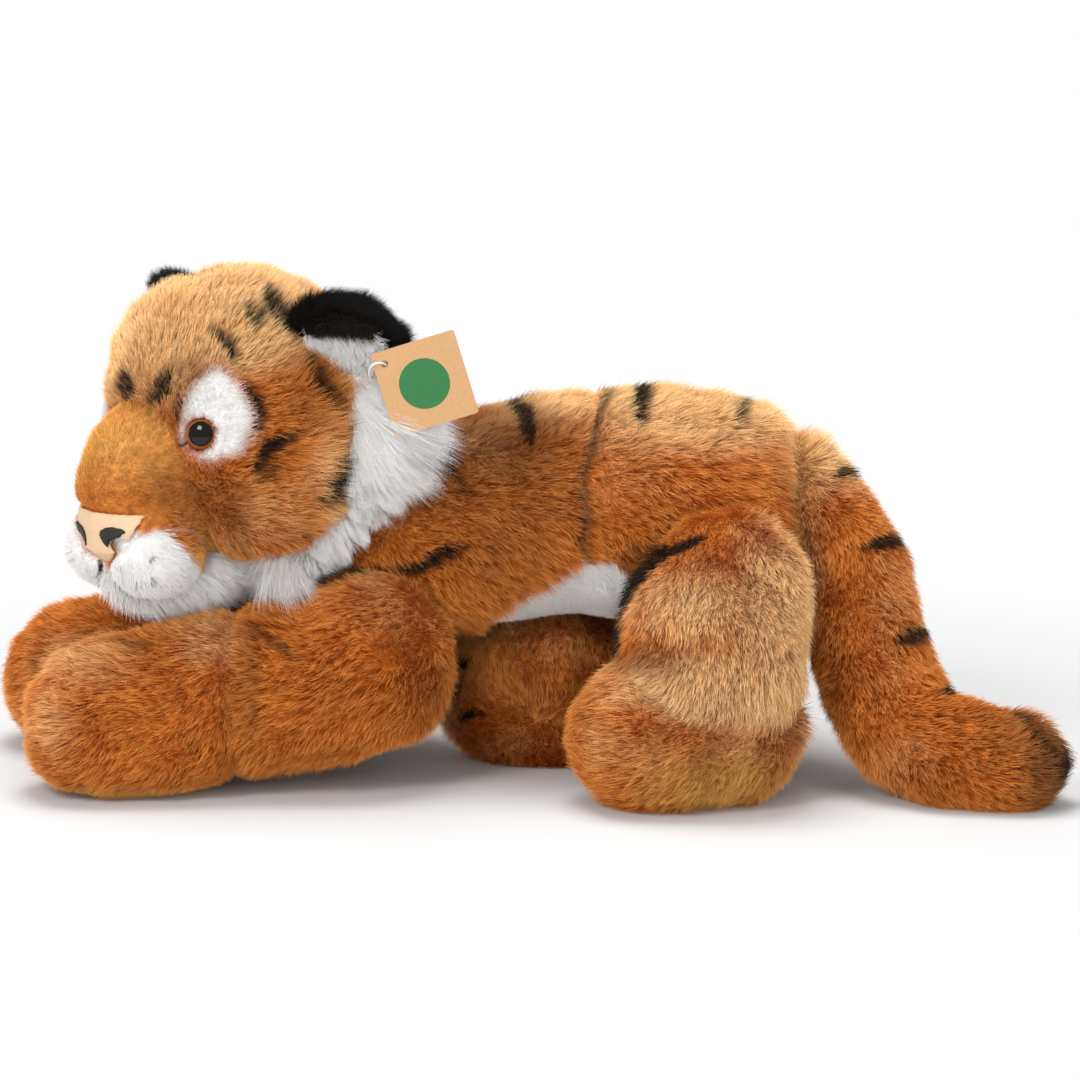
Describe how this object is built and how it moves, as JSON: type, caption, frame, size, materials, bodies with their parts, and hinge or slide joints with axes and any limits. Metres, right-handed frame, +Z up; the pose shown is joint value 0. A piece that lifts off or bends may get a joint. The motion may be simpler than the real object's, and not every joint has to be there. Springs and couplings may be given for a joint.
{
  "type": "plush tiger",
  "caption": "Long-haired plush tiger lying on its front with its head turned to the side, with plastic eyes and a hang tag on a thread.",
  "frame": {"origin": "on the floor, under the middle of the object's box", "axes": "+X towards the tail, the nose at -X; -Y towards the side the head is turned to; +Z up"},
  "size_m": [0.566, 0.2198, 0.2717],
  "materials": {
    "plush_orange": "striped orange-brown pile",
    "plush_golden": "short golden-brown pile",
    "plush_white": "white pile",
    "plush_black": "black pile",
    "velour_peach": "short velour",
    "thread_black": "satin stitch",
    "eye_plastic": "polished",
    "washer_plastic": "moulded",
    "kraft_card": "uncoated kraft card with a printed disc",
    "thread_white": "twisted cotton"
  },
  "bodies": {
    "torso": {"chest_and_back": "plush_orange", "hindquarters": "plush_orange", "belly_panel": "plush_white"},
    "head": {"head": "plush_orange", "muzzle": "plush_golden", "nose_pad": "velour_peach", "nostril_near": "thread_black", "nostril_far": "thread_black", "whisker_pad_near": "plush_white", "whisker_pad_far": "plush_white", "chin": "plush_white", "eye_patch_near": "plush_white", "eye_patch_far": "plush_white", "eye_near": "eye_plastic", "eye_far": "eye_plastic", "eye_washer_near": "washer_plastic", "eye_washer_far": "washer_plastic", "ruff_near": "plush_white", "ruff_far": "plush_white", "tag_thread": "thread_white"},
    "ear_near": {"ear_near": "plush_black", "ear_lining_near": "plush_white"},
    "ear_far": {"ear_far": "plush_black", "ear_lining_far": "plush_white"},
    "front_leg_near": {"front_leg_near": "plush_orange", "front_sole_near": "plush_golden"},
    "front_leg_far": {"front_leg_far": "plush_orange", "front_sole_far": "plush_golden"},
    "hind_leg_near": {"hind_leg_near": "plush_orange", "hind_sole_near": "plush_golden"},
    "hind_leg_far": {"hind_leg_far": "plush_orange", "hind_sole_far": "plush_golden"},
    "tail": {"tail": "plush_orange"},
    "tag": {"tag_card": "kraft_card"}
  },
  "joints": [
    {"name": "neck_turn", "type": "hinge", "parent": "torso", "child": "head", "pos_m": [-0.095, 0.02215, 0.128], "axis": [0, 0, 1], "range_deg": [-10, 10], "stiffness_Nm_per_rad": 1.5},
    {"name": "ear_near_fold", "type": "hinge", "parent": "head", "child": "ear_near", "pos_m": [-0.10093, -0.02256, 0.23237], "axis": [0.9329, 0.133, -0.3348], "range_deg": [-8, 8], "stiffness_Nm_per_rad": 0.2},
    {"name": "ear_far_fold", "type": "hinge", "parent": "head", "child": "ear_far", "pos_m": [-0.18187, 0.06733, 0.23237], "axis": [-0.2297, -0.9138, 0.3348], "range_deg": [-8, 8], "stiffness_Nm_per_rad": 0.2},
    {"name": "front_leg_near_swing", "type": "hinge", "parent": "torso", "child": "front_leg_near", "pos_m": [-0.073, -0.01785, 0.128], "axis": [0, 0, 1], "range_deg": [-6, 6], "stiffness_Nm_per_rad": 1.5},
    {"name": "front_leg_far_swing", "type": "hinge", "parent": "torso", "child": "front_leg_far", "pos_m": [-0.073, 0.04415, 0.128], "axis": [0, 0, 1], "range_deg": [-6, 6], "stiffness_Nm_per_rad": 1.5},
    {"name": "hind_leg_near_swing", "type": "hinge", "parent": "torso", "child": "hind_leg_near", "pos_m": [0.119, -0.01585, 0.13], "axis": [0, 0, 1], "range_deg": [-6, 6], "stiffness_Nm_per_rad": 1.5},
    {"name": "hind_leg_far_swing", "type": "hinge", "parent": "torso", "child": "hind_leg_far", "pos_m": [0.135, 0.06415, 0.044], "axis": [0, 0, 1], "range_deg": [-6, 6], "stiffness_Nm_per_rad": 1.5},
    {"name": "tail_swing", "type": "hinge", "parent": "torso", "child": "tail", "pos_m": [0.121, 0.02215, 0.158], "axis": [0, 0, 1], "range_deg": [-7, 7], "stiffness_Nm_per_rad": 1},
    {"name": "tag_swing", "type": "hinge", "parent": "head", "child": "tag", "pos_m": [-0.06879, -0.04496, 0.231], "axis": [0, 0, 1], "range_deg": [-15, 15]}
  ]
}
